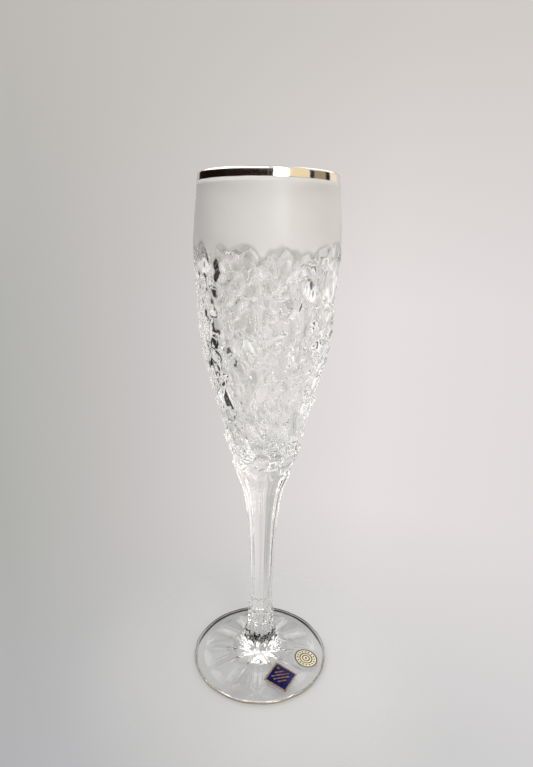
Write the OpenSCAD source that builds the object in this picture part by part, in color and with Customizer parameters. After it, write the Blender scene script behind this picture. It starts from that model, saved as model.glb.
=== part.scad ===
// Champagne flute in pressed and drawn crystal: a deep bowl, a faceted stem, a faceted
// collar and a shallow domed foot, fused end to end. A satin coat and a fired platinum
// lip dress the bowl, a platinum line edges the foot, and two foil labels sit on the foot.
// Millimetres, +Z up, origin on the table at the centre of the foot.

/* [Flute] */
// Height from the table to the top of the lip
flute_h = 225; // [215:1:235]
// Outside radius at the lip
lip_r = 28.2; // [27.4:0.1:29]
// Outside radius where the satin coat ends and the relief begins, the widest place
belly_r = 30; // [29.4:0.1:30.6]
// Height of the joint between the bowl and the stem
bowl_joint_z = 98; // [96:0.5:100]
// Radius of the joint between the bowl and the stem
bowl_joint_r = 12.3; // [11.8:0.1:12.8]

/* [Bowl wall] */
// Wall thickness at the lip
lip_wall = 1.6; // [1.4:0.1:2]
// Wall thickness where the relief begins
belly_wall = 2.3; // [2:0.1:2.8]
// Wall thickness through the relief
relief_wall = 3.4; // [3:0.1:3.8]
// Thickness of glass under the bottom of the hollow
bowl_floor = 8; // [7:0.5:10]

/* [Dressing] */
// Height of the platinum lip
lip_band_h = 3.5; // [2.5:0.1:5]
// Height where the satin coat starts
satin_z = 197; // [194:0.5:200]
// Modelled thickness of the satin coat and of the platinum
coat_t = 0.12; // [0.08:0.01:0.2]

/* [Stem] */
// Number of flat panels round the stem and the collar
panels = 12; // [3:1:12]
// Turn of the panels about the axis, in degrees
panel_turn = 18; // [0:1:30]
// Radius of the stem at its narrowest
waist_r = 5.45; // [5:0.05:5.7]
// Height of the joint between the stem and the collar
collar_top_z = 30; // [29:0.5:31]
// Radius of the stem where it meets the collar
stem_end_r = 5.65; // [5.5:0.05:6]
// Radius of the collar at its fullest
collar_r = 6.35; // [6.3:0.05:6.8]
// Height of the sloping shoulder at each end of the collar
collar_chamfer_h = 1.5; // [1:0.1:2.2]

/* [Foot] */
// Radius of the foot with its platinum line
foot_r = 32.5; // [31.5:0.1:33.5]
// Thickness of the foot at its rounded edge
foot_edge_t = 2; // [1.8:0.1:2.4]
// Height of the joint between the collar and the foot
foot_joint_z = 21.5; // [21:0.5:22.5]
// Radius of that joint
foot_joint_r = 6.1; // [6:0.1:6.3]
// Radius where the central dome runs out into the flat cone
dome_r = 13.2; // [12.8:0.1:13.4]
// Height of the foot's upper face at that radius
dome_z = 4.6; // [4.2:0.1:5]
// Width of the flat ring that the flute stands on
rest_ring_w = 3.4; // [2.5:0.1:4]
// Height of the hollow under the middle of the foot
kick_h = 2.2; // [1.5:0.1:2.6]

/* [Labels] */
// Side of the square foil label
square_side = 11.4; // [10:0.1:11.8]
// Distance of the square label's centre from the axis
square_at_r = 21.7; // [21.5:0.1:22]
// Bearing of the square label's centre, in degrees from +X
square_bearing = -63; // [-180:1:180]
// Turn of the square label's sides, in degrees from +X
square_turn = -31; // [-90:1:90]
// Diameter of the round foil label
round_d = 11; // [9:0.1:12]
// Distance of the round label's centre from the axis
round_at_r = 23.7; // [23:0.1:24]
// Bearing of the round label's centre, in degrees from +X
round_bearing = -18; // [-180:1:180]
// Thickness of the foil
foil_t = 0.1; // [0.08:0.01:0.15]
// Height of the foil's embossed border above its field
emboss_t = 0.06; // [0.04:0.01:0.1]
// Width of the foil's embossed border
border_w = 0.8; // [0.6:0.1:1]

/* [Hidden] */
$fn = 120;
spline_steps = 5;
arc_step = 15;
lip_round = lip_wall / 2;
lip_centre = [lip_r - coat_t - lip_round, flute_h - coat_t - lip_round];
band_foot_z = flute_h - lip_band_h;
edge_round = foot_edge_t / 2;
edge_centre = [foot_r - coat_t - edge_round, edge_round];
edge_band_from = -30;
edge_band_to = 95;
foil_clearance = 0.1;
rest_ring_r = edge_centre.x - rest_ring_w;
cone_slope = (dome_z - foot_edge_t) / (edge_centre.x - dome_r);

// Outside of the bowl as [radius, height], from the stem joint up to the lip
outside = [
    [bowl_joint_r, bowl_joint_z],
    [16.7, 112],
    [20.7, 128],
    [24.4, 143],
    [27.9, 160],
    [29.4, 181],
    [belly_r, satin_z],
    [29.3, 209],
    [lip_r - coat_t, lip_centre.y],
];

// Inside of the bowl as [radius, height], from the bottom of the hollow up to the lip
inside = [
    [0, bowl_joint_z + bowl_floor],
    [6.5, bowl_joint_z + bowl_floor + 1.6],
    [16.7 - relief_wall - 0.9, 114],
    [20.7 - relief_wall, 128],
    [24.4 - relief_wall, 143],
    [27.9 - relief_wall, 160],
    [29.4 - relief_wall + 0.4, 181],
    [belly_r - belly_wall, satin_z],
    [29.3 - belly_wall + 0.3, 209],
    [lip_r - coat_t - lip_wall, lip_centre.y],
];

// Outside of the stem as [radius, height], from the collar up to the bowl
stem_side = [
    [stem_end_r, collar_top_z],
    [waist_r, 41],
    [6, 61],
    [7.2, 76],
    [9.45, 90],
    [bowl_joint_r, bowl_joint_z],
];

// Point at share t along the Catmull-Rom curve between points i and i + 1
function spline_point(points, i, t) =
    let (
        last = len(points) - 1,
        b = points[i],
        c = points[i + 1],
        a = i > 0 ? points[i - 1] : 2 * b - c,
        d = i + 1 < last ? points[i + 2] : 2 * c - b
    )
    0.5 * (2 * b + (c - a) * t + (2 * a - 5 * b + 4 * c - d) * t * t
        + (3 * b - a - 3 * c + d) * t * t * t);

// Smooth curve through the given points
function spline(points) = [
    for (i = [0 : len(points) - 2])
        for (s = [0 : spline_steps - 1])
            spline_point(points, i, s / spline_steps),
    points[len(points) - 1]
];

// Points on an arc from angle a to angle b, both ends included
function arc(centre, r, a, b) =
    let (n = max(1, ceil(abs(b - a) / arc_step)))
    [for (i = [0 : n]) let (w = a + (b - a) * i / n) centre + r * [cos(w), sin(w)]];

// The same points from last to first
function reversed(points) = [for (i = [len(points) - 1 : -1 : 0]) points[i]];

// Radius of a rising curve at a height
function radius_at(points, z) =
    let (i = max([for (k = [0 : len(points) - 2]) if (points[k].y <= z) k]),
         a = points[i],
         b = points[i + 1])
    a.x + (b.x - a.x) * (z - a.y) / (b.y - a.y);

// The part of a rising curve between two heights
function between(points, low, high) = concat(
    [[radius_at(points, low), low]],
    [for (p = points) if (p.y > low + 0.01 && p.y < high - 0.01) p],
    [[radius_at(points, high), high]]);

// The same curve, further from the axis
function moved_out(points, by) = [for (p = points) p + [by, 0]];

outside_curve = spline(outside);
inside_curve = spline(inside);

// Height of the foot's upper face over its flat cone
function cone_z(r) = dome_z - cone_slope * (r - dome_r);

// Blown and moulded bowl, solid at the bottom where it meets the stem
module bowl() {
    color("aliceblue", 0.5)
        rotate_extrude()
            polygon(concat(
                [[0, bowl_joint_z]],
                outside_curve,
                arc(lip_centre, lip_round, arc_step, 180 - arc_step),
                reversed(inside_curve)));
}

// A thin skin over the outside of the bowl between two heights
module bowl_skin(low, high) {
    face = between(outside_curve, low, high);
    rotate_extrude()
        polygon(concat(face, reversed(moved_out(face, coat_t))));
}

// Satin coat over the smooth upper part of the bowl
module satin_coat() {
    color("gainsboro")
        bowl_skin(satin_z, band_foot_z);
}

// Fired platinum over the top of the bowl and round the lip
module rim_band() {
    side = between(outside_curve, band_foot_z, lip_centre.y);
    color("silver")
        rotate_extrude()
            polygon(concat(
                side,
                arc(lip_centre, lip_round, arc_step, 150),
                arc(lip_centre, lip_round + coat_t, 150, arc_step),
                reversed(moved_out(side, coat_t))));
}

// Solid drawn stem with flat panels
module stem() {
    curve = spline(stem_side);
    color("aliceblue", 0.5)
        rotate([0, 0, panel_turn])
            rotate_extrude($fn = panels)
                polygon(concat([[0, collar_top_z]], curve, [[0, bowl_joint_z]]));
}

// Short faceted collar that joins the stem to the foot
module stem_collar() {
    color("aliceblue", 0.5)
        rotate([0, 0, panel_turn])
            rotate_extrude($fn = panels)
                polygon([
                    [0, foot_joint_z],
                    [foot_joint_r, foot_joint_z],
                    [collar_r, foot_joint_z + collar_chamfer_h],
                    [collar_r, collar_top_z - collar_chamfer_h],
                    [stem_end_r, collar_top_z],
                    [0, collar_top_z],
                ]);
}

// Cast foot: a small dome on a shallow cone, hollowed underneath to stand on a flat ring
module foot() {
    dome = spline([
        [dome_r, dome_z],
        [10.4, 7.8],
        [8.2, 12.5],
        [6.8, 17.5],
        [foot_joint_r, foot_joint_z],
    ]);
    color("aliceblue", 0.5)
        rotate_extrude()
            polygon(concat(
                [[0, kick_h], [rest_ring_r, 0]],
                arc(edge_centre, edge_round, -90, 90),
                dome,
                [[0, foot_joint_z]]));
}

// Fired platinum line round the foot's edge
module foot_band() {
    color("silver")
        rotate_extrude()
            polygon(concat(
                arc(edge_centre, edge_round, edge_band_from, edge_band_to),
                arc(edge_centre, edge_round + coat_t, edge_band_to, edge_band_from)));
}

// A layer that follows the foot's cone, between two heights above it
module cone_layer(low, high) {
    inner = dome_r + foil_clearance;
    outer = edge_centre.x - foil_clearance;
    rotate_extrude()
        polygon([
            [inner, cone_z(inner) + low],
            [outer, cone_z(outer) + low],
            [outer, cone_z(outer) + high],
            [inner, cone_z(inner) + high],
        ]);
}

// Foil that lies on the foot's cone, with an embossed border. The outline is the first
// child and the sunk field inside the border is the second.
module foil() {
    difference() {
        intersection() {
            cone_layer(0, foil_t + emboss_t);
            linear_extrude(3 * dome_z) children(0);
        }
        intersection() {
            cone_layer(foil_t, 2 * (foil_t + emboss_t));
            linear_extrude(3 * dome_z) children(1);
        }
    }
}

// Children moved to a place on the foot and turned there
module on_foot(bearing, distance, turn) {
    translate(distance * [cos(bearing), sin(bearing), 0])
        rotate([0, 0, turn])
            children();
}

// Square foil label
module square_label() {
    color("navy")
        foil() {
            on_foot(square_bearing, square_at_r, square_turn)
                square(square_side, center = true);
            on_foot(square_bearing, square_at_r, square_turn)
                square(square_side - 2 * border_w, center = true);
        }
}

// Round foil label
module round_label() {
    color("goldenrod")
        foil() {
            on_foot(round_bearing, round_at_r, 0)
                circle(d = round_d);
            on_foot(round_bearing, round_at_r, 0)
                circle(d = round_d - 2 * border_w);
        }
}

bowl();
satin_coat();
rim_band();
stem();
stem_collar();
foot();
foot_band();
square_label();
round_label();
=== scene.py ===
"""Champagne flute: the looks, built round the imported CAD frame. Metres, +Z up, camera on the -Y side."""

import math

import bpy
import numpy as np
from mathutils import Matrix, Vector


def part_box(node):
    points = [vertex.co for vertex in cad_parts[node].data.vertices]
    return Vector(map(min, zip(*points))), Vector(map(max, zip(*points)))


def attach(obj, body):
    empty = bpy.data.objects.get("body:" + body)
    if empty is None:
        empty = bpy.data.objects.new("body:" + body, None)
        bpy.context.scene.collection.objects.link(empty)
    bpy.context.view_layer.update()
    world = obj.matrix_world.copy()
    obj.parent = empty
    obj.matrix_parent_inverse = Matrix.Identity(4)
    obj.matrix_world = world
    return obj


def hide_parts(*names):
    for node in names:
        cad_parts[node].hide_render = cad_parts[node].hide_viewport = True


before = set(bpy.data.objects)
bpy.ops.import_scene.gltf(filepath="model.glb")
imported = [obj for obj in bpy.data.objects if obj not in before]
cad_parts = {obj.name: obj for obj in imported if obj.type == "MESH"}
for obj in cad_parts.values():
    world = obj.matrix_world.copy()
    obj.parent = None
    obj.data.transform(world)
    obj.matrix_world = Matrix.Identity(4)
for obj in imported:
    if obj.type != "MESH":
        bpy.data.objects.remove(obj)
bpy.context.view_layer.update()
scene = bpy.context.scene

MM = 0.001
TURN = 2 * math.pi
PANELS = 12  # flat panels round the stem, the collar and the neck of the foot
PANEL = TURN / PANELS
PANEL_EDGE = math.radians(18)  # bearing of one edge between two panels, from +X
PANEL_HOLLOW = 0.016  # how far a panel's middle is hollowed, in its corner radii
PANEL_CREST = 0.998  # how far out its edges reach before they are rounded, in its corner radii
PANEL_CRISPNESS = 70
CAP = 0.97  # radius of the first ring inside a fused end face, as a share of the face's own
SEED = 31

# ---------------------------------------------------------------- profiles from the CAD


def low_z(node):
    """Height of a node's lowest point in millimetres."""
    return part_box(node)[0].z / MM


def cad_side(node, outward):
    """(radius, height) points in millimetres up the outer or inner side of a turned CAD node."""
    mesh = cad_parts[node].data
    rings = {}
    for face in mesh.polygons:
        facing = face.normal.x * face.center.x + face.normal.y * face.center.y
        if abs(face.normal.z) > 0.9999 or (facing > 0) != outward:
            continue
        for index in face.vertices:
            point = mesh.vertices[index].co
            height = round(point.z / MM, 3)
            rings[height] = max(rings.get(height, 0), math.hypot(point.x, point.y) / MM)
    return np.array([(rings[height], height) for height in sorted(rings)])


def curve(x, xs, ys):
    """Smooth interpolation of ys over rising xs."""
    slopes = np.gradient(ys, xs)
    i = np.clip(np.searchsorted(xs, x) - 1, 0, len(xs) - 2)
    step = xs[i + 1] - xs[i]
    t = np.clip((x - xs[i]) / step, 0, 1)
    return (
        (1 + 2 * t) * (1 - t) ** 2 * ys[i]
        + t * (1 - t) ** 2 * step * slopes[i]
        + t * t * (3 - 2 * t) * ys[i + 1]
        + t * t * (t - 1) * step * slopes[i + 1]
    )


def even_path(points, count):
    """count points evenly spaced along a smooth curve through (radius, height) points."""
    along = np.concatenate([[0], np.cumsum(np.hypot(*np.diff(points, axis=0).T))])
    where = np.linspace(0, along[-1], count)
    return np.stack([curve(where, along, points[:, 0]), curve(where, along, points[:, 1])], 1)


def offset_path(points, by):
    """The path moved sideways, to the right of its direction."""
    run = np.gradient(points, axis=0)
    run /= np.hypot(*run.T)[:, None]
    return points + by * np.stack([run[:, 1], -run[:, 0]], 1)


def smoothstep(x, low, high):
    """0 up to low, 1 from high, and smooth between them."""
    t = np.clip((x - low) / (high - low), 0, 1)
    return t * t * (3 - 2 * t)


def soft_min(values, sharpness):
    """The least of some arrays, rounded where two of them cross."""
    least = np.minimum.reduce(values)
    return least - np.log(sum(np.exp(sharpness * (least - v)) for v in values)) / sharpness


# ---------------------------------------------------------------- mesh helpers


def bearings(columns):
    """The bearing of each column of a turned mesh, one column on each panel edge."""
    return PANEL_EDGE + np.arange(columns) * TURN / columns


def make_piece(name, vertices, faces, indices, materials, sharp=()):
    """An object in the row frame from vertices in millimetres."""
    mesh = bpy.data.meshes.new(name)
    mesh.from_pydata((np.asarray(vertices) * MM).tolist(), [], faces)
    for material in materials:
        mesh.materials.append(material)
    mesh.polygons.foreach_set("material_index", np.asarray(indices, np.int32))
    mesh.shade_smooth()
    if len(sharp):
        wanted = {tuple(sorted(pair)) for pair in sharp}
        for edge in mesh.edges:
            if tuple(sorted(edge.vertices)) in wanted:
                edge.use_edge_sharp = True
    piece = bpy.data.objects.new(name, mesh)
    scene.collection.objects.link(piece)
    return piece


def turned(name, columns, rows, strips, materials, sharp_rows=(), ring=False):
    """A turned piece, closed. rows are (radii, heights), one value or one per column. Without ring the
    first and last rows run in to the axis; with it the last row joins the first. strips gives the
    material of each strip of faces in order, the fans at the axis included."""
    angle = bearings(columns)
    vertices = np.concatenate([
        np.stack(np.broadcast_arrays(r * np.cos(angle), r * np.sin(angle), np.asarray(z, float)), 1)
        for r, z in rows
    ])
    faces, indices = [], []
    for i in range(len(rows) if ring else len(rows) - 1):
        a, b = i * columns, (i + 1) % len(rows) * columns
        faces += [
            (a + j, a + (j + 1) % columns, b + (j + 1) % columns, b + j) for j in range(columns)
        ]
        indices += [strips[i if ring else i + 1]] * columns
    if not ring:
        low, high, end = len(vertices), len(vertices) + 1, (len(rows) - 1) * columns
        vertices = np.vstack([
            vertices,
            [[0, 0, vertices[:columns, 2].mean()], [0, 0, vertices[end:, 2].mean()]],
        ])
        for j in range(columns):
            k = (j + 1) % columns
            faces += [(low, k, j), (high, end + j, end + k)]
            indices += [strips[0], strips[-1]]
    sharp = [
        (i * columns + j, i * columns + (j + 1) % columns) for i in sharp_rows for j in range(columns)
    ]
    return make_piece(name, vertices, faces, indices, materials, sharp)


def panel_middle(angle):
    """1 along the middle of each panel, falling to 0 at its edges."""
    from_middle = (angle - PANEL_EDGE) % PANEL - PANEL / 2
    return 1 - np.abs(2 * from_middle / PANEL)


def panel_radius(angle, corner):
    """Radius of a section of twelve slightly hollow panels with crisp edges, corner being its greatest."""
    from_middle = (angle - PANEL_EDGE) % PANEL - PANEL / 2
    flat = corner * math.cos(PANEL / 2) / np.cos(from_middle)
    hollow = PANEL_HOLLOW * corner * (1 - (2 * from_middle / PANEL) ** 2)
    return soft_min([flat - hollow, PANEL_CREST * corner + 0 * flat], PANEL_CRISPNESS)


# ---------------------------------------------------------------- node helpers


class Graph:
    """A node tree, with short calls to fill it."""

    def __init__(self, tree):
        self.nodes, self.links = tree.nodes, tree.links
        self.nodes.clear()

    def add(self, kind, settings=None, **inputs):
        """A new node. inputs are numbers, tuples or sockets, and _ stands for a space in their names."""
        node = self.nodes.new("ShaderNode" + kind)
        for name, value in (settings or {}).items():
            setattr(node, name, value)
        for name, value in inputs.items():
            self.put(node.inputs[name.replace("_", " ")], value)
        return node

    def put(self, socket, value):
        """A value or a link into a socket."""
        if isinstance(value, bpy.types.NodeSocket):
            self.links.new(value, socket)
        else:
            socket.default_value = value

    def math(self, operation, *values):
        """The result of a math node."""
        node = self.add("Math", {"operation": operation})
        for socket, value in zip(node.inputs, values):
            self.put(socket, value)
        return node.outputs[0]

    def mix(self, factor, first, second):
        """One colour blended into another."""
        first, second = [(*c, 1) if isinstance(c, tuple) else c for c in (first, second)]
        node = self.add("Mix", {"data_type": "RGBA"}, Factor=factor, A=first, B=second)
        return node.outputs["Result"]

    def remap(self, value, low, high, to_low=0.0, to_high=1.0, smooth=False):
        """A value carried from one range to another and held inside it."""
        node = self.add(
            "MapRange", {"interpolation_type": "SMOOTHSTEP" if smooth else "LINEAR"}, Value=value,
            From_Min=low, From_Max=high, To_Min=to_low, To_Max=to_high,
        )
        return node.outputs[0]

    def noise(self, scale, detail=2.0, stretch=(1, 1, 1)):
        """Noise in the object's own coordinates; scale counts features in a metre."""
        where = self.add("TexCoord").outputs["Object"]
        place = self.add("Mapping", Vector=where, Scale=stretch).outputs[0]
        return self.add("TexNoise", Vector=place, Scale=scale, Detail=detail).outputs["Fac"]

    def spread(self, value, low, high):
        """The range that a noise value mostly covers, mapped to another."""
        return self.remap(value, 0.3, 0.7, low, high)

    def bump(self, shader, height, distance):
        """Fine surface texture, distance metres deep."""
        node = self.add("Bump", Height=height, Distance=distance)
        self.links.new(node.outputs[0], shader.inputs["Normal"])

    def out(self, shader):
        """The shader as the material's surface."""
        self.add("OutputMaterial", Surface=shader.outputs[0])


def new_material(name):
    """An empty material and its graph."""
    material = bpy.data.materials.new(name)
    material.use_nodes = True
    return material, Graph(material.node_tree)


# ---------------------------------------------------------------- materials


def crystal_material():
    """Clear crystal with the faint waviness and smears of fire polish."""
    material, graph = new_material("crystal")
    shader = graph.add(
        "BsdfPrincipled", Base_Color=(0.997, 1.0, 0.996, 1), IOR=1.54, Transmission_Weight=1.0,
        Roughness=graph.spread(graph.noise(60, 3), 0.0, 0.02),
    )
    graph.bump(shader, graph.noise(140, 1), 0.00005)
    graph.out(shader)
    return material


def fused_material():
    """The inside of a fused joint, which isn't seen."""
    material, graph = new_material("fused_joint")
    graph.out(graph.add("BsdfTransparent"))
    return material


def satin_material():
    """Etched satin: light goes through and is spread wide, and some comes back white."""
    material, graph = new_material("satin")
    cloud = graph.noise(220, 4)
    shader = graph.add(
        "BsdfPrincipled", IOR=1.5, Transmission_Weight=0.62,
        Base_Color=graph.mix(cloud, (0.86, 0.85, 0.835), (0.905, 0.895, 0.885)),
        Roughness=graph.spread(cloud, 0.40, 0.48),
    )
    graph.bump(shader, graph.noise(6000, 2), 0.000006)
    graph.out(shader)
    return material


def platinum_material(name, dark, light, rough):
    """Fired platinum: a mirror with faint brush lines round the glass."""
    material, graph = new_material(name)
    strokes = graph.noise(300, 4, (1, 1, 14))
    shader = graph.add(
        "BsdfPrincipled", Metallic=1.0, Roughness=graph.spread(strokes, rough, rough + 0.08),
        Base_Color=graph.mix(strokes, dark, light),
    )
    graph.bump(shader, strokes, 0.000004)
    graph.out(shader)
    return material


def fired_underside_painted_shade_material():
    """The side of the platinum that is fired onto the glass: dull, with painted reflection and shade, pale
    in front and dark behind along the object's Y.
    """
    material, graph = new_material("platinum_back_painted_shade")
    cloud = graph.noise(400, 3)
    behind = graph.add("SeparateXYZ", Vector=graph.add("TexCoord").outputs["Object"]).outputs["Y"]
    # Painted reflection and shade: pale towards the front (-Y), dark towards the back (+Y).
    shade = graph.remap(behind, -0.002, 0.004)
    painted_lit_front = graph.mix(cloud, (0.34, 0.31, 0.28), (0.55, 0.52, 0.48))
    painted_dark_back = graph.mix(cloud, (0.006, 0.004, 0.003), (0.018, 0.013, 0.010))
    shader = graph.add(
        "BsdfPrincipled", Base_Color=graph.mix(shade, painted_lit_front, painted_dark_back),
        Roughness=graph.spread(cloud, 0.4, 0.6), Specular_IOR_Level=0.2,
    )
    graph.out(shader)
    return material


def foil_material(name, dark, light, rough):
    """Lacquered metal foil with a fine grain."""
    material, graph = new_material(name)
    grain = graph.noise(700, 5)
    shader = graph.add(
        "BsdfPrincipled", Metallic=0.9, Coat_Weight=0.25,
        Base_Color=graph.mix(graph.spread(grain, 0.0, 1.0), dark, light),
        Roughness=graph.spread(grain, rough, rough + 0.12),
    )
    graph.bump(shader, grain, 0.00001)
    graph.out(shader)
    return material


CRYSTAL = crystal_material()
FUSED = fused_material()
SATIN = satin_material()
PLATINUM = platinum_material("platinum", (0.80, 0.76, 0.70), (0.88, 0.85, 0.80), 0.04)
# Darker and browner than the rim's platinum: partly a duller worn line, partly painted shade.
DULL_PLATINUM_PAINTED_SHADE = platinum_material("dull_platinum_painted_shade", (0.44, 0.37, 0.30), (0.60, 0.53, 0.45), 0.12)
# fired side of the platinum, pale in front and dark behind as painted reflection and shade
PLATINUM_BACK_PAINTED_SHADE = fired_underside_painted_shade_material()
BLUE_FOIL = foil_material("blue_foil", (0.0, 0.0, 0.003), (0.004, 0.007, 0.15), 0.2)
GOLD_FOIL = foil_material("gold_foil", (0.26, 0.165, 0.08), (0.42, 0.30, 0.17), 0.25)
COPPER_FOIL = foil_material("copper_foil", (0.10, 0.05, 0.025), (0.34, 0.20, 0.11), 0.3)
PALE_GOLD = foil_material("pale_gold_foil", (0.50, 0.45, 0.30), (0.70, 0.65, 0.49), 0.28)
DARK_GOLD = foil_material("dark_gold_foil", (0.04, 0.028, 0.012), (0.12, 0.09, 0.04), 0.35)

# ---------------------------------------------------------------- relief

bowl_side = cad_side("bowl", True)
bowl_hollow = cad_side("bowl", False)
joint_z = low_z("bowl")
satin_z = low_z("satin_coat")
band_z = low_z("rim_band")

CHIP_TRIES = 16000
CHIP_SPACING = 5.0  # between the centres of two chips of size 1
CHIP_REACH = 12.0  # a chip is nowhere seen further up or down than this
TOP_ROOM = 6.5  # the field of chips stops this far under the satin, and the row of tops fills it
RIDGE_SHARPNESS = 26.0
RELIEF_FADE = 5.0  # the relief grows to its full depth over this height above the stem
ARCH_RISE = 0.45  # how fast the arches over the stem's panels spread with height
CLEAR_DEPTH = 0.03  # glass cut deeper than this has no satin on it


def envelope(z):
    """Radius of the bowl's uncut outside at some heights."""
    return curve(z, bowl_side[:, 1], bowl_side[:, 0])


def scatter_chips(rng):
    """Bearing, height, radius and size of each chip, no two of them closer than their sizes allow."""
    chips = []
    for _ in range(CHIP_TRIES):
        z = rng.uniform(joint_z - 1, satin_z - TOP_ROOM)
        r = float(envelope(np.array([max(z, joint_z)]))[0])
        if rng.uniform() * bowl_side[:, 0].max() > r:
            continue
        angle, size = rng.uniform(0, TURN), rng.uniform(0.7, 1.4)
        if chips:
            others = np.array(chips)
            turn = (others[:, 0] - angle + math.pi) % TURN - math.pi
            apart = np.hypot(turn * (others[:, 2] + r) / 2, others[:, 1] - z)
            if (apart < CHIP_SPACING * (others[:, 3] + size) / 2).any():
                continue
        chips.append((angle, z, r, size))
    return chips


def top_chips(rng):
    """Bearing, height, radius and width of the upright chips whose tops make the satin's edge."""
    chips, angle = [], 0.0
    r = float(envelope(np.array([satin_z]))[0])
    while angle < TURN - 0.12:
        width = rng.uniform(0.15, 0.24)
        chips.append((angle + width / 2, satin_z - rng.uniform(4.5, 7.0), r, width))
        angle += width
    return chips


class Relief:
    """Chipped-ice relief: each chip is a shallow tilted scoop, and they meet in sharp ridges."""

    def __init__(self, seed):
        """across and along are half sizes, lean a turn in radians, the tilts slopes. curve and wall say
        how the scoop rises from its middle, slowly at first and then steeply."""
        rng, tops_rng = np.random.default_rng(seed), np.random.default_rng(seed + 1)
        field, tops = np.array(scatter_chips(rng)), np.array(top_chips(tops_rng))
        self.angle, self.z, self.r = np.concatenate([field[:, :3], tops[:, :3]]).T
        many, few = len(field), len(tops)
        wide = field[:, 3] * rng.uniform(2.1, 3.3, many)
        room_above = (satin_z - field[:, 1]) / 1.3
        self.across = np.concatenate([wide, tops[:, 2] * tops[:, 3] * 0.58])
        self.along = np.concatenate([
            np.minimum(wide * rng.uniform(1.0, 2.2, many), room_above), tops_rng.uniform(4.0, 5.5, few)
        ])
        self.lean = np.concatenate([rng.normal(0, 0.8, many), tops_rng.normal(0, 0.12, few)])
        self.depth = np.concatenate([rng.uniform(0.5, 1.25, many), tops_rng.uniform(0.12, 0.26, few)])
        self.tilt_across = np.concatenate([rng.normal(0, 0.27, many), tops_rng.normal(0, 0.08, few)])
        self.tilt_along = np.concatenate([rng.normal(0, 0.22, many), np.zeros(few)])
        self.curve = np.concatenate([np.full(many, 0.04), self.depth[many:]])
        self.wall = np.concatenate([np.full(many, 0.26), np.zeros(few)])

    def height(self, angle, z):
        """Height of the surface over the envelope, zero or less, at places that are at about one height."""
        near = np.abs(self.z - z.mean()) < CHIP_REACH
        turn = (angle[:, None] - self.angle[near] + math.pi) % TURN - math.pi
        side, up = turn * self.r[near], z[:, None] - self.z[near]
        cos, sin = np.cos(self.lean[near]), np.sin(self.lean[near])
        x, y = side * cos + up * sin, up * cos - side * sin
        bowl = (x / self.across[near]) ** 2 + (y / self.along[near]) ** 2
        chip = (
            self.curve[near] * bowl + self.wall[near] * bowl ** 3
            + self.tilt_across[near] * x + self.tilt_along[near] * y - self.depth[near]
        )
        lift = np.exp(-RIDGE_SHARPNESS * np.minimum(chip, 4)).sum(1)
        return -np.log(1 + lift) / RIDGE_SHARPNESS


relief = Relief(SEED)
BOWL_COLUMNS = 384
bowl_angle = bearings(BOWL_COLUMNS)


def satin_edge():
    """Height of the scalloped edge between the relief and the satin, for each column."""
    heights = np.arange(satin_z - 5, satin_z + 2, 0.05)
    depths = [relief.height(bowl_angle, np.full(BOWL_COLUMNS, z)) for z in heights]
    edge = []
    for column in np.transpose(depths):
        cut = heights[column < -CLEAR_DEPTH]
        edge.append(cut[-1] if len(cut) else heights[0])
    padded = np.concatenate([edge[-2:], edge, edge[:2]])
    return np.convolve(padded, [0.05, 0.2, 0.5, 0.2, 0.05], "valid")


edge_z = satin_edge()

# ---------------------------------------------------------------- glass pieces


def lip_profile():
    """The bowl's profile from the platinum's lower edge over the lip and down the hollow, and the
    number of the point that the platinum's fired side reaches."""
    start = [[envelope(np.array([band_z]))[0], band_z]]
    points = np.vstack([start, bowl_side[bowl_side[:, 1] > band_z], bowl_hollow[:-1][::-1]])
    return points, np.argmax(points[:, 1]) + 6


def bowl_piece():
    """The bowl: relief outside, smooth hollow inside, fused faces under the satin and at the stem."""
    relief_rows, satin_rows, lip_rows, hollow_rows = 196, 10, 16, 30
    section = panel_radius(bowl_angle, envelope(np.array([joint_z])))
    rows, strips = [(section * CAP, joint_z)], [1]
    for i in range(relief_rows + 1):
        z = joint_z + (edge_z - joint_z) * i / relief_rows
        depth = relief.height(bowl_angle, z) * smoothstep(z, joint_z, joint_z + RELIEF_FADE)
        radius = envelope(z) + depth
        arch = section + (z - joint_z) * ARCH_RISE
        rows.append((np.minimum(radius, arch), z))
        strips.append(1 if i == 0 else 0)
    for i in range(1, satin_rows + 1):
        z = edge_z + (band_z - edge_z) * i / satin_rows
        rows.append((envelope(z), z))
        strips.append(1)
    lip, end = lip_profile()
    banded = [tuple(point) for point in even_path(lip[:end + 1], lip_rows)[1:]]
    bare = [tuple(point) for point in even_path(lip[end:], hollow_rows)[1:-1]]
    rows += banded + bare
    strips += [2] * len(banded) + [0] * (len(bare) + 1)
    return turned(
        "bowl_glass", BOWL_COLUMNS, rows, strips, [CRYSTAL, FUSED, PLATINUM_BACK_PAINTED_SHADE], sharp_rows=[1]
    )


def satin_piece():
    """Satin skin over the smooth part of the bowl, down to the scalloped tops of the chips."""
    inner, hem, outer, steps = 0.01, 0.03, 0.11, 14
    heights = [edge_z + (band_z - edge_z) * i / steps for i in range(steps + 1)]
    rows = [(envelope(z) + (outer if i else hem), z) for i, z in enumerate(heights)]
    rows += [(envelope(z) + inner, z) for z in heights[::-1]]
    strips = [0] * (steps + 1) + [1] * (steps + 1)
    return turned("satin_skin", BOWL_COLUMNS, rows, strips, [SATIN, FUSED], ring=True)


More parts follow.
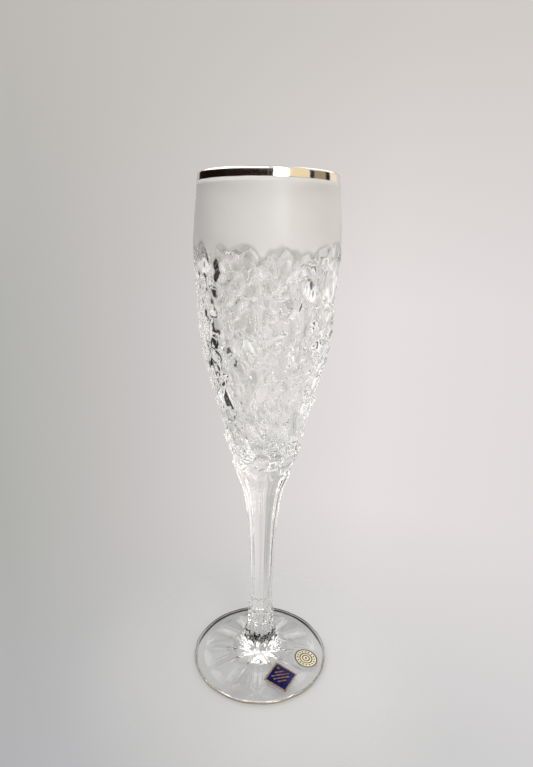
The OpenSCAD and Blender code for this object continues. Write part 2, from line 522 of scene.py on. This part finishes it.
def rim_piece():
    """Platinum wrapped over the lip, its lower edge as wavy as a brushed line."""
    columns = 288
    lip, end = lip_profile()
    path = even_path(lip[:end - 1], 34)
    under, over = offset_path(path, 0.015), offset_path(path, 0.115)
    angle = bearings(columns)
    wander = 0.05 * (np.sin(5 * angle + 1) + np.sin(11 * angle + 2) + 0.6 * np.sin(23 * angle))
    share = np.linspace(1, 0, len(path)) ** 6
    rows = [(r, z + wander * s) for (r, z), s in zip(over, share)]
    rows += [(r, z + wander * s) for (r, z), s in zip(under[::-1], share[::-1])]
    count = len(path)
    strips = [0] * count + [1] * (count - 1) + [0]
    return turned("rim_platinum", columns, rows, strips, [PLATINUM, PLATINUM_BACK_PAINTED_SHADE], ring=True)


def fused_bar(name, columns, sides):
    """Solid glass that is fused to its neighbours at both ends. sides are its rows from bottom to top."""
    (low_r, low), (high_r, high) = sides[0], sides[-1]
    rows = [(low_r * CAP, low)] + sides + [(high_r * CAP, high)]
    strips = [1, 1] + [0] * (len(sides) - 1) + [1, 1]
    return turned(name, columns, rows, strips, [CRYSTAL, FUSED], sharp_rows=[1, len(sides)])


def stem_piece():
    """Solid stem with flat panels and softly rounded edges."""
    columns, height_rows = 192, 90
    angle = bearings(columns)
    sides = [(panel_radius(angle, r), z) for r, z in even_path(cad_side("stem", True), height_rows)]
    return fused_bar("stem_glass", columns, sides)


def collar_piece():
    """Collar of twelve small cushions, each arched at its top and bottom."""
    columns, steps = 288, 48
    angle = bearings(columns)
    corners = cad_side("stem_collar", True)
    (low_r, low), (high_r, high) = corners[0], corners[-1]
    steepness = 0.3 + 0.9 * panel_middle(angle)
    sides = []
    for z in np.linspace(low, high, steps + 1):
        limits = [
            panel_radius(angle, corners[:, 0].max()),
            panel_radius(angle, low_r) + (z - low) * steepness,
            panel_radius(angle, high_r) + (high - z) * steepness,
        ]
        sides.append((np.minimum.reduce(limits), z))
    return fused_bar("collar_glass", columns, sides)


foot_side = cad_side("foot", True)
foot_under = cad_side("foot", False)
foot_top = foot_side[np.argmax(foot_side[:, 0]):]
FOOT_COLUMNS = 360
foot_angle = bearings(FOOT_COLUMNS)
RIDGE_BEARING = math.radians(-2)  # of one ridge between two flutes
FLUTE_DEPTH = 0.45
FLUTE_GROWS = (4, 14)  # radii over which the flutes get their depth
STAR_DEPTH, STAR_RADIUS, STAR_WIDTH = 0.55, 8.5, 3.5
UPPER_FACE = 1.99  # the foot is higher than this on its upper face only
RIB_HEIGHT, RIB_WIDTH = 0.6, 2.2
RIB_GROWS = (10, 14)
LABEL_MARGIN = 3.0
NECK_SQUARES = (5, 9)  # heights over which the round dome turns into the twelve-sided neck
EDGE_WAVE = 0.2
BAND_LOW, BAND_HIGH = 0.1, 1.55  # heights that the platinum covers at the edge
BAND_DEPTH = 1.3  # and how far in from the edge it can lie
WRAP_FRONT, WRAP_BACK = 0.3, 1.5  # how far it goes in under the foot; wider at the back, where its fired side is painted dark


def foot_height(r):
    """Height of the foot's upper face."""
    return curve(r, foot_top[::-1, 0], foot_top[::-1, 1])


def from_ridge(angle):
    """0 on the ridges between the foot's flutes, 1 in the middle of each flute."""
    return np.abs(np.sin((angle - RIDGE_BEARING) * PANELS / 2))


def clear_of_labels(x, y):
    """0 under the labels and 1 a few millimetres away from them, so that they lie flat."""
    clear = 1.0
    for node in ("square_label", "round_label"):
        low, high = (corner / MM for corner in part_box(node))
        away = np.hypot(x - (low.x + high.x) / 2, y - (low.y + high.y) / 2)
        reach = (high.x - low.x) / 2
        clear = clear * smoothstep(away, reach, reach + LABEL_MARGIN)
    return clear


def foot_piece():
    """Foot with flutes and a star pressed into its underside, ribs on top and a twelve-sided neck."""
    angle, flute = foot_angle, from_ridge(foot_angle)
    kick, ring_r = foot_under[:, 1].max(), foot_under[:, 0].max()
    rows = []
    for r in np.linspace(0.6, ring_r, 60):
        rise = kick * (1 - r / ring_r)
        cut = FLUTE_DEPTH * smoothstep(r, *FLUTE_GROWS) * (1 - smoothstep(r, ring_r - 4, ring_r))
        star = STAR_DEPTH * math.exp(-(((r - STAR_RADIUS) / STAR_WIDTH) ** 2))
        rows.append((r, rise + (cut + star) * flute))
    wrap = WRAP_FRONT + (WRAP_BACK - WRAP_FRONT) * smoothstep(np.sin(angle), 0, 0.4)
    rows.append((foot_side[0, 0] - wrap, 0 * angle))
    under_rows = len(rows)
    from_rib = (angle - RIDGE_BEARING + PANEL / 2) % PANEL - PANEL / 2
    for r, z in even_path(foot_side, 150):
        rib = RIB_HEIGHT * np.exp(-((from_rib * r / RIB_WIDTH) ** 2) * 2)
        rib = rib * clear_of_labels(r * np.cos(angle), r * np.sin(angle)) * (z > UPPER_FACE)
        z = z + rib * smoothstep(r, *RIB_GROWS) * (1 - smoothstep(r, ring_r - 6, ring_r - 1))
        squared = smoothstep(z, *NECK_SQUARES)
        wave = EDGE_WAVE * (1 - flute) * smoothstep(r, ring_r - 6, ring_r + 3)
        rows.append((r * (1 - squared) + panel_radius(angle, r) * squared - wave, z))
    banded = [
        r.min() > foot_side[:, 0].max() - BAND_DEPTH and BAND_LOW < z.mean() < BAND_HIGH
        for r, z in rows[under_rows:]
    ]
    rows.append((rows[-1][0] * CAP, foot_side[-1, 1]))
    strips = [0] * under_rows + [2] + [2 if covered else 0 for covered in banded[:-1]] + [1, 1]
    materials = [CRYSTAL, FUSED, PLATINUM_BACK_PAINTED_SHADE]
    return turned("foot_glass", FOOT_COLUMNS, rows, strips, materials, sharp_rows=[len(rows) - 2])


def foot_band_piece():
    """Platinum line round the foot's edge, its upper border as wavy as a brushed line."""
    edge = foot_side[(foot_side[:, 1] > BAND_LOW) & (foot_side[:, 1] < BAND_HIGH)]
    path = even_path(edge, 16)
    under, over = offset_path(path, 0.015), offset_path(path, 0.11)
    wave = EDGE_WAVE * (1 - from_ridge(foot_angle))
    wander = 0.06 * (np.sin(7 * foot_angle) + np.sin(17 * foot_angle + 1))
    rows = []
    for side in (over, under[::-1]):
        for i, (r, z) in enumerate(side):
            last = i if side is over else len(side) - 1 - i
            rows.append((r - wave + wander * (last / len(side)) ** 8, z))
    count = len(path)
    strips = [0] * count + [1] * (count - 1) + [0]
    materials = [DULL_PLATINUM_PAINTED_SHADE, PLATINUM_BACK_PAINTED_SHADE]
    return turned("foot_platinum", FOOT_COLUMNS, rows, strips, materials, ring=True)


# ---------------------------------------------------------------- labels

LABEL_TURN = math.radians(-31)
FOIL = 0.09  # thickness of the labels
LABEL_GAP = 0.02


def label_piece(name, node, grid_uv, paint, emboss, materials, closed):
    """A foil label lying on the foot. grid_uv holds places on the flat label, row by row, and closed
    says that the rows are rings about its middle. paint is the material's number at each place."""
    low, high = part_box(node)
    centre = (low + high) / 2 / MM
    u, v = grid_uv[..., 0], grid_uv[..., 1]
    x, y = centre.x + u, centre.y + v
    seat = foot_height(np.hypot(x, y)) + LABEL_GAP
    top = np.stack([x, y, seat + FOIL + emboss], -1).reshape(-1, 3)
    base = np.stack([x, y, seat], -1).reshape(-1, 3)
    n_rows, n_columns = u.shape
    count = n_rows * n_columns
    faces, indices = [], []
    across = n_columns if closed else n_columns - 1
    for i in range(n_rows - 1):
        for j in range(across):
            a, b = i * n_columns + j, i * n_columns + (j + 1) % n_columns
            c, d = b + n_columns, a + n_columns
            faces += [(a, b, c, d), (count + d, count + c, count + b, count + a)]
            indices += [int(paint[i, j]), 0]
    if closed:
        border = [(n_rows - 1) * n_columns + j for j in range(n_columns)]
        faces += [tuple(range(n_columns - 1, -1, -1)), tuple(count + j for j in range(n_columns))]
        indices += [int(paint[0, 0]), 0]
    else:
        border = (
            list(range(n_columns))
            + [i * n_columns + n_columns - 1 for i in range(1, n_rows)]
            + [(n_rows - 1) * n_columns + j for j in range(n_columns - 2, -1, -1)]
            + [i * n_columns for i in range(n_rows - 2, 0, -1)]
        )
    for a, b in zip(border, border[1:] + border[:1]):
        faces.append((b, count + b, count + a, a) if closed else (b, a, count + a, count + b))
        indices.append(0)
    return make_piece(name, np.vstack([top, base]), faces, indices, materials)


def square_label_piece():
    """Blue foil with a gold border, four plain bars and a lozenge."""
    low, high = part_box("square_label")
    width = (high.x - low.x) / MM
    half = width / (math.cos(LABEL_TURN) + abs(math.sin(LABEL_TURN))) / 2
    steps = 92
    p, q = np.meshgrid(np.linspace(-half, half, steps), np.linspace(-half, half, steps))
    u = p * math.cos(LABEL_TURN) - q * math.sin(LABEL_TURN)
    v = p * math.sin(LABEL_TURN) + q * math.cos(LABEL_TURN)
    reach = np.maximum(np.abs(p), np.abs(q))
    along, up = (p + q) / math.sqrt(2), (q - p) / math.sqrt(2)
    border, bar = 0.75, 0.3
    paint = np.where(reach > half - border, 1, 0)
    for place, length in ((2.5, 2.3), (0.9, 4.2), (-0.7, 3.7), (-2.3, 2.1)):
        paint[(np.abs(up - place) < bar) & (np.abs(along) < length)] = 2
    paint[np.abs(up - 4.6) + np.abs(along) < 0.9] = 2
    emboss = 0.05 * (paint > 0)
    return label_piece("blue_label", "square_label", np.stack([u, v], -1), paint, emboss,
                       [BLUE_FOIL, GOLD_FOIL, COPPER_FOIL], False)


def round_label_piece():
    """Pale gold foil with embossed rings and a circle of beads."""
    low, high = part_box("round_label")
    radius = (high.x - low.x) / MM / 2
    columns, beads, ring_width, bead_size = 168, 16, 0.05, 0.42
    angle = -np.arange(columns) * TURN / columns
    r, a = np.meshgrid(np.linspace(0.12, radius, 60), angle, indexing="ij")
    u, v = r * np.cos(a), r * np.sin(a)
    dark = np.zeros(r.shape, bool)
    for ring in (0.04, 0.30, 0.52, 0.94):
        dark |= np.abs(r / radius - ring) < ring_width
    spot = (a / TURN * beads + 0.5) % 1 - 0.5
    dark |= np.hypot(spot * TURN * r / beads, r - 0.73 * radius) < bead_size
    emboss = np.where(dark, -0.02, 0.04)
    return label_piece("gold_label", "round_label", np.stack([u, v], -1), dark, emboss,
                       [PALE_GOLD, DARK_GOLD], True)


# ---------------------------------------------------------------- put together

PIECES = [
    (bowl_piece, "bowl", "crystal_glass"),
    (satin_piece, "satin_coat", "satin_glass"),
    (rim_piece, "rim_band", "platinum"),
    (stem_piece, "stem", "crystal_glass"),
    (collar_piece, "stem_collar", "crystal_glass"),
    (foot_piece, "foot", "crystal_glass"),
    (foot_band_piece, "foot_band", "platinum"),
    (square_label_piece, "square_label", "blue_foil"),
    (round_label_piece, "round_label", "gold_foil"),
]
for make, node, slot in PIECES:
    piece = make()
    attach(piece, "root")
    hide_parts(node)

# ---------------------------------------------------------------- studio


def tone(*levels):
    """A colour from screen levels, 0 to 255."""
    return tuple(((level / 255 + 0.055) / 1.055) ** 2.4 for level in levels)


FLOOR_Z = -0.0002
FLOOR_PAPER = (0.32, 0.32, 0.32)
FLOOR_LEFT, FLOOR_RIGHT = (0.15, 0.15, 0.15), (0.27, 0.267, 0.267)  # painted light that it gives out by itself, less on the left than on the right
FLOOR_FADE = (0.036, 0.10)  # distances from the axis over which it fades away
FLOOR_RADIUS = 0.11


def floor_piece():
    """Pale paper that fades into the backdrop, a hair under the foot; it also glows by itself as painted
    light, brighter towards the right.
    """
    material, graph = new_material("floor")
    place = graph.add("TexCoord").outputs["Object"]
    fleck = graph.spread(graph.noise(900, 5), 0.985, 1.015)
    # Painted light: the floor's own glow grows from FLOOR_LEFT on the left to FLOOR_RIGHT on the right.
    across = graph.remap(graph.add("SeparateXYZ", Vector=place).outputs["X"], -0.05, 0.05)
    glow = graph.add("Emission", Color=graph.mix(across, FLOOR_LEFT, FLOOR_RIGHT), Strength=fleck)
    paper = graph.add("BsdfDiffuse", Color=(*FLOOR_PAPER, 1))
    painted_glow_and_paper = graph.add("AddShader")
    reach = graph.add("VectorMath", {"operation": "LENGTH"})
    fade = graph.add("MixShader")
    graph.put(painted_glow_and_paper.inputs[0], glow.outputs[0])
    graph.put(painted_glow_and_paper.inputs[1], paper.outputs[0])
    graph.put(reach.inputs[0], place)
    graph.put(fade.inputs[0], graph.remap(reach.outputs["Value"], *FLOOR_FADE, smooth=True))
    graph.put(fade.inputs[1], painted_glow_and_paper.outputs[0])
    graph.put(fade.inputs[2], graph.add("BsdfTransparent").outputs[0])
    graph.out(fade)
    turns = [TURN * i / 64 for i in range(64)]
    corners = [(FLOOR_RADIUS * math.cos(t), FLOOR_RADIUS * math.sin(t), FLOOR_Z) for t in turns]
    mesh = bpy.data.meshes.new("floor")
    mesh.from_pydata(corners, [], [tuple(range(len(corners)))])
    mesh.materials.append(material)
    floor = bpy.data.objects.new("floor", mesh)
    scene.collection.objects.link(floor)


# The backdrop's tones by degrees right of straight ahead: low, level and high. What the camera sees of them
# is a painted gradient of light and shade.
LOW_TONES = [(-180, (206, 205, 204)), (-60, (206, 205, 204)), (-34, (176, 176, 178)),
             (-12, (193, 193, 194)), (15, (205, 204, 204)), (50, (210, 209, 209)),
             (180, (206, 205, 204))]
LEVEL_TONES = [(-180, (237, 235, 234)), (-50, (237, 235, 234)), (-29, (174, 175, 171)),
               (-14, (198, 194, 193)), (0, (219, 214, 214)), (12, (230, 224, 224)), (32, (224, 219, 219)),
               (50, (243, 240, 238)), (180, (237, 235, 234))]
HIGH_TONES = [(-180, (237, 235, 234)), (-50, (237, 235, 234)), (-24, (188, 185, 180)),
              (-12, (196, 193, 188)), (14, (208, 203, 199)), (32, (208, 204, 200)), (50, (240, 238, 236)),
              (180, (237, 235, 234))]
# The degrees up over which one gives way to the next.
LOW_TO_LEVEL, LEVEL_TO_HIGH = (-46.0, -27.0), (-6.0, 19.0)

# What stands round the flute: degrees right of ahead, degrees up, radiance, softness in degrees.
ROOM = [
    ((-181, -70), (22, 60), (2.2, 2.2, 2.2), 5),  # pale wall on the left
    ((-60, 60), (26, 58), (2.2, 2.2, 2.2), 5),  # pale wall ahead
    ((-16, 16), (14, 62), (0.4, 0.39, 0.38), 4),  # and its duller middle
    ((-64, -37), (2, 20), (0.016, 0.007, 0.006), 3),  # dark furniture on the left
    ((-181, -100), (-25, 20), (0.016, 0.007, 0.006), 3),
    ((-110, -54), (-38, 20), (0.008, 0.005, 0.004), 2),
    ((172, 181), (2, 20), (0.03, 0.016, 0.018), 1),  # and behind
    ((149, 172), (2, 60), (5.0, 4.9, 4.6), 0.8),  # window behind on the right
    ((112.5, 149), (2, 50), (1.0, 0.82, 0.56), 0.8),  # warm wall beside it
    ((104, 113), (-30, 20), (0.03, 0.03, 0.05), 0.8),  # dark post
    ((79, 104), (2, 20), (0.38, 0.31, 0.21), 0.8),  # dim warm wall
    ((67.5, 79.5), (-30, 20), (0.03, 0.02, 0.018), 0.8),  # dark post
    ((46, 68), (-32, 4), (1.1, 1.1, 1.08), 2),  # pale wall on the right
    ((48, 68), (2, 50), (0.98, 0.88, 0.71), 2),
    ((-181, 181), (62, 91), (0.9, 0.9, 0.92), 4),  # ceiling
]
RISE_SOFTNESS = 3  # of their upper and lower borders, in degrees


def world_light():
    """Light from all round. The camera sees the backdrop, painted with light and shade by direction, and
    the glass sees the room too.
    """
    world = bpy.data.worlds.new("studio")
    scene.world = world
    world.use_nodes = True
    graph = Graph(world.node_tree)
    ray = graph.add("TexCoord").outputs["Generated"]
    x, y, z = graph.add("SeparateXYZ", Vector=ray).outputs
    bearing = graph.math("MULTIPLY", graph.math("ARCTAN2", x, y), math.degrees(1))
    rise = graph.math("MULTIPLY", graph.math("ARCSINE", z), math.degrees(1))

    def tones(stops):
        """The backdrop's colour by bearing."""
        ramp = graph.add("ValToRGB", Fac=graph.remap(bearing, -180.0, 180.0))
        points = ramp.color_ramp.elements
        while len(points) < len(stops):
            points.new(0.5)
        for point, (degrees, levels) in zip(points, stops):
            point.position = degrees / 360 + 0.5
            point.color = (*tone(*levels), 1)
        return ramp.outputs["Color"]

    def between(value, ends, soft):
        """1 between two ends and 0 outside them, soft to each side of both."""
        up = graph.remap(value, ends[0] - soft, ends[0] + soft, smooth=True)
        down = graph.remap(value, ends[1] + soft, ends[1] - soft, smooth=True)
        return graph.math("MULTIPLY", up, down)

    upper = graph.mix(graph.remap(rise, *LEVEL_TO_HIGH), tones(LEVEL_TONES), tones(HIGH_TONES))
    backdrop = graph.mix(graph.remap(rise, *LOW_TO_LEVEL), tones(LOW_TONES), upper)
    room = backdrop
    for across, up, colour, soft in ROOM:
        bounded = between(bearing, across, soft), between(rise, up, RISE_SOFTNESS)
        patch = graph.math("MULTIPLY", *bounded)
        room = graph.mix(patch, room, colour)
    seen = graph.mix(graph.add("LightPath").outputs["Is Camera Ray"], room, backdrop)
    graph.add("OutputWorld", Surface=graph.add("Background", Color=seen).outputs[0])


def camera():
    """A phone's wide lens close to the flute, a little above the middle and rolled slightly."""
    data = bpy.data.cameras.new("camera")
    data.sensor_width = 36
    data.lens = 25.11
    data.clip_start = 0.01
    view = bpy.data.objects.new("camera", data)
    view.location = (0, -0.22567, 0.19949)
    turn = (
        Matrix.Rotation(math.radians(-0.178), 3, "Z")
        @ Matrix.Rotation(math.radians(75.154), 3, "X")
        @ Matrix.Rotation(math.radians(1.114), 3, "Z")
    )
    view.rotation_euler = turn.to_euler()
    scene.collection.objects.link(view)
    scene.camera = view


LIGHT_BOUNCES = 96  # light is caught inside the cut glass for a long time
floor_piece()
world_light()
camera()
scene.view_settings.view_transform = "Standard"
scene.cycles.max_bounces = LIGHT_BOUNCES
scene.cycles.transmission_bounces = LIGHT_BOUNCES
scene.cycles.glossy_bounces = LIGHT_BOUNCES
scene.cycles.transparent_max_bounces = LIGHT_BOUNCES
